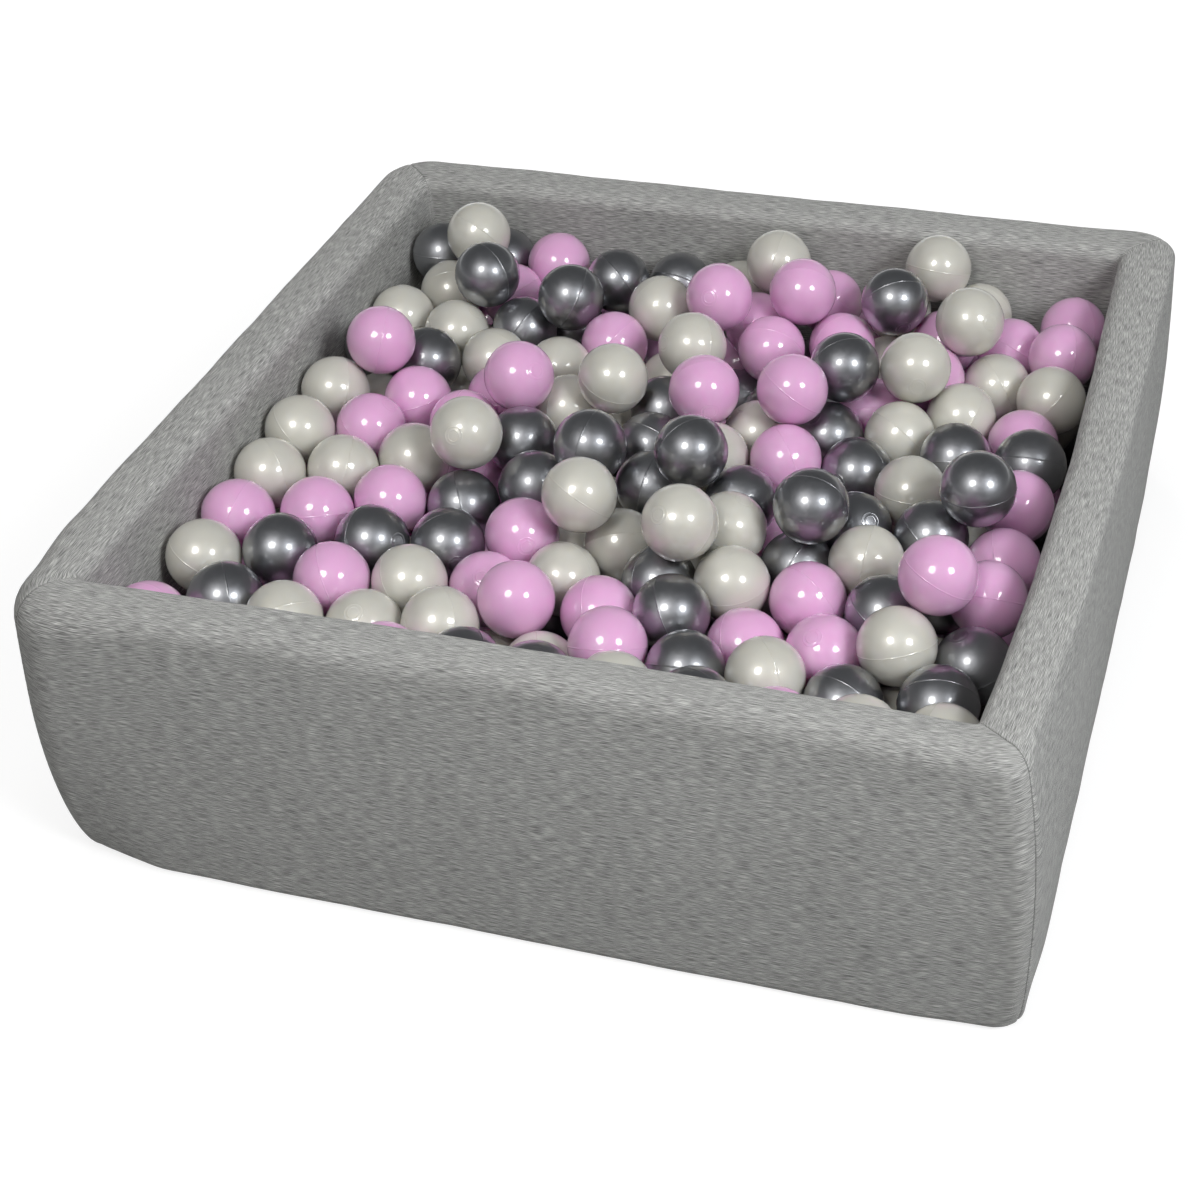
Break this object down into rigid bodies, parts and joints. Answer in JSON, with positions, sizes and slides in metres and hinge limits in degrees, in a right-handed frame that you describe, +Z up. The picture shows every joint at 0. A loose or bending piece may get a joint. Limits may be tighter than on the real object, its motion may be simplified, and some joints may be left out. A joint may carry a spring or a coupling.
{
  "type": "ball pit",
  "caption": "Square foam-walled ball pit in grey jersey, filled with loose pink, pearl and dark silver play balls, with a zip low on its back wall.",
  "frame": {"origin": "centre of the pit's footprint, on the floor that it stands on", "axes": "+Z up; -Y out of the front wall, the long wall nearest in the picture; +X towards the wall on its right"},
  "size_m": [0.906, 0.9132, 0.3067],
  "materials": {
    "jersey": "melange cotton jersey",
    "foam": "open-cell foam",
    "zip_tape": "woven tape",
    "zip_teeth": "satin",
    "zip_metal": "satin",
    "ball_bed": "gloss",
    "ball_pink": "gloss",
    "ball_pearl": "pearl gloss",
    "ball_silver": "metallic gloss"
  },
  "bodies": {
    "pit": {"cover_back": "jersey", "cover_front": "jersey", "cover_left": "jersey", "cover_right": "jersey", "floor_cover_base": "jersey", "floor_cover_top": "jersey", "foam_back": "foam", "foam_floor": "foam", "foam_front": "foam", "foam_left": "foam", "foam_right": "foam", "zip_stop_closed_end": "zip_metal", "zip_stop_open_end": "zip_metal", "zip_tape_lower": "zip_tape", "zip_tape_upper": "zip_tape", "zip_teeth_lower": "zip_teeth", "zip_teeth_upper": "zip_teeth"},
    "zip_slider": {"zip_slider": "zip_metal"},
    "zip_pull": {"zip_pull": "zip_metal"},
    "ball_bed": {"ball_bed": "ball_bed"},
    "ball_01_pearl": {"ball_01_pearl": "ball_pearl"},
    "ball_02_pearl": {"ball_02_pearl": "ball_pearl"},
    "ball_03_silver": {"ball_03_silver": "ball_silver"},
    "ball_04_pearl": {"ball_04_pearl": "ball_pearl"},
    "ball_05_silver": {"ball_05_silver": "ball_silver"},
    "ball_06_silver": {"ball_06_silver": "ball_silver"},
    "ball_07_pearl": {"ball_07_pearl": "ball_pearl"},
    "ball_08_pink": {"ball_08_pink": "ball_pink"},
    "ball_09_pink": {"ball_09_pink": "ball_pink"},
    "ball_10_pearl": {"ball_10_pearl": "ball_pearl"},
    "ball_11_pearl": {"ball_11_pearl": "ball_pearl"},
    "ball_12_pink": {"ball_12_pink": "ball_pink"},
    "ball_13_silver": {"ball_13_silver": "ball_silver"},
    "ball_14_pearl": {"ball_14_pearl": "ball_pearl"},
    "ball_15_pink": {"ball_15_pink": "ball_pink"},
    "ball_16_pearl": {"ball_16_pearl": "ball_pearl"},
    "ball_17_pink": {"ball_17_pink": "ball_pink"},
    "ball_18_pink": {"ball_18_pink": "ball_pink"},
    "ball_19_silver": {"ball_19_silver": "ball_silver"},
    "ball_20_pearl": {"ball_20_pearl": "ball_pearl"},
    "ball_21_silver": {"ball_21_silver": "ball_silver"},
    "ball_22_pearl": {"ball_22_pearl": "ball_pearl"},
    "ball_23_pearl": {"ball_23_pearl": "ball_pearl"},
    "ball_24_silver": {"ball_24_silver": "ball_silver"},
    "ball_25_silver": {"ball_25_silver": "ball_silver"},
    "ball_26_pink": {"ball_26_pink": "ball_pink"}
  },
  "joints": [
    {"name": "ball_bed_lift", "type": "slide", "parent": "pit", "child": "ball_bed", "axis": [0, 0, 1], "range_m": [0, 0.3]},
    {"name": "zip_slide", "type": "slide", "parent": "pit", "child": "zip_slider", "axis": [1, 0, 0], "range_m": [0, 0.6084]},
    {"name": "zip_pull_swing", "type": "hinge", "parent": "zip_slider", "child": "zip_pull", "pos_m": [-0.3042, 0.45838, 0.04681], "axis": [0, 0.0281, 0.9996], "range_deg": [0, 170]},
    {"name": "ball_01_pearl_lift", "type": "slide", "parent": "ball_bed", "child": "ball_01_pearl", "axis": [0, 0, 1], "range_m": [0, 0.16]},
    {"name": "ball_02_pearl_lift", "type": "slide", "parent": "ball_bed", "child": "ball_02_pearl", "axis": [0, 0, 1], "range_m": [0, 0.16]},
    {"name": "ball_03_silver_lift", "type": "slide", "parent": "ball_bed", "child": "ball_03_silver", "axis": [0, 0, 1], "range_m": [0, 0.16]},
    {"name": "ball_04_pearl_lift", "type": "slide", "parent": "ball_bed", "child": "ball_04_pearl", "axis": [0, 0, 1], "range_m": [0, 0.16]},
    {"name": "ball_05_silver_lift", "type": "slide", "parent": "ball_bed", "child": "ball_05_silver", "axis": [0, 0, 1], "range_m": [0, 0.16]},
    {"name": "ball_06_silver_lift", "type": "slide", "parent": "ball_bed", "child": "ball_06_silver", "axis": [0, 0, 1], "range_m": [0, 0.16]},
    {"name": "ball_07_pearl_lift", "type": "slide", "parent": "ball_bed", "child": "ball_07_pearl", "axis": [0, 0, 1], "range_m": [0, 0.16]},
    {"name": "ball_08_pink_lift", "type": "slide", "parent": "ball_bed", "child": "ball_08_pink", "axis": [0, 0, 1], "range_m": [0, 0.16]},
    {"name": "ball_09_pink_lift", "type": "slide", "parent": "ball_bed", "child": "ball_09_pink", "axis": [0, 0, 1], "range_m": [0, 0.16]},
    {"name": "ball_10_pearl_lift", "type": "slide", "parent": "ball_bed", "child": "ball_10_pearl", "axis": [0, 0, 1], "range_m": [0, 0.16]},
    {"name": "ball_11_pearl_lift", "type": "slide", "parent": "ball_bed", "child": "ball_11_pearl", "axis": [0, 0, 1], "range_m": [0, 0.16]},
    {"name": "ball_12_pink_lift", "type": "slide", "parent": "ball_bed", "child": "ball_12_pink", "axis": [0, 0, 1], "range_m": [0, 0.16]},
    {"name": "ball_13_silver_lift", "type": "slide", "parent": "ball_bed", "child": "ball_13_silver", "axis": [0, 0, 1], "range_m": [0, 0.16]},
    {"name": "ball_14_pearl_lift", "type": "slide", "parent": "ball_bed", "child": "ball_14_pearl", "axis": [0, 0, 1], "range_m": [0, 0.16]},
    {"name": "ball_15_pink_lift", "type": "slide", "parent": "ball_bed", "child": "ball_15_pink", "axis": [0, 0, 1], "range_m": [0, 0.16]},
    {"name": "ball_16_pearl_lift", "type": "slide", "parent": "ball_bed", "child": "ball_16_pearl", "axis": [0, 0, 1], "range_m": [0, 0.16]},
    {"name": "ball_17_pink_lift", "type": "slide", "parent": "ball_bed", "child": "ball_17_pink", "axis": [0, 0, 1], "range_m": [0, 0.16]},
    {"name": "ball_18_pink_lift", "type": "slide", "parent": "ball_bed", "child": "ball_18_pink", "axis": [0, 0, 1], "range_m": [0, 0.16]},
    {"name": "ball_19_silver_lift", "type": "slide", "parent": "ball_bed", "child": "ball_19_silver", "axis": [0, 0, 1], "range_m": [0, 0.16]},
    {"name": "ball_20_pearl_lift", "type": "slide", "parent": "ball_bed", "child": "ball_20_pearl", "axis": [0, 0, 1], "range_m": [0, 0.16]},
    {"name": "ball_21_silver_lift", "type": "slide", "parent": "ball_bed", "child": "ball_21_silver", "axis": [0, 0, 1], "range_m": [0, 0.16]},
    {"name": "ball_22_pearl_lift", "type": "slide", "parent": "ball_bed", "child": "ball_22_pearl", "axis": [0, 0, 1], "range_m": [0, 0.16]},
    {"name": "ball_23_pearl_lift", "type": "slide", "parent": "ball_bed", "child": "ball_23_pearl", "axis": [0, 0, 1], "range_m": [0, 0.16]},
    {"name": "ball_24_silver_lift", "type": "slide", "parent": "ball_bed", "child": "ball_24_silver", "axis": [0, 0, 1], "range_m": [0, 0.16]},
    {"name": "ball_25_silver_lift", "type": "slide", "parent": "ball_bed", "child": "ball_25_silver", "axis": [0, 0, 1], "range_m": [0, 0.16]},
    {"name": "ball_26_pink_lift", "type": "slide", "parent": "ball_bed", "child": "ball_26_pink", "axis": [0, 0, 1], "range_m": [0, 0.16]}
  ]
}
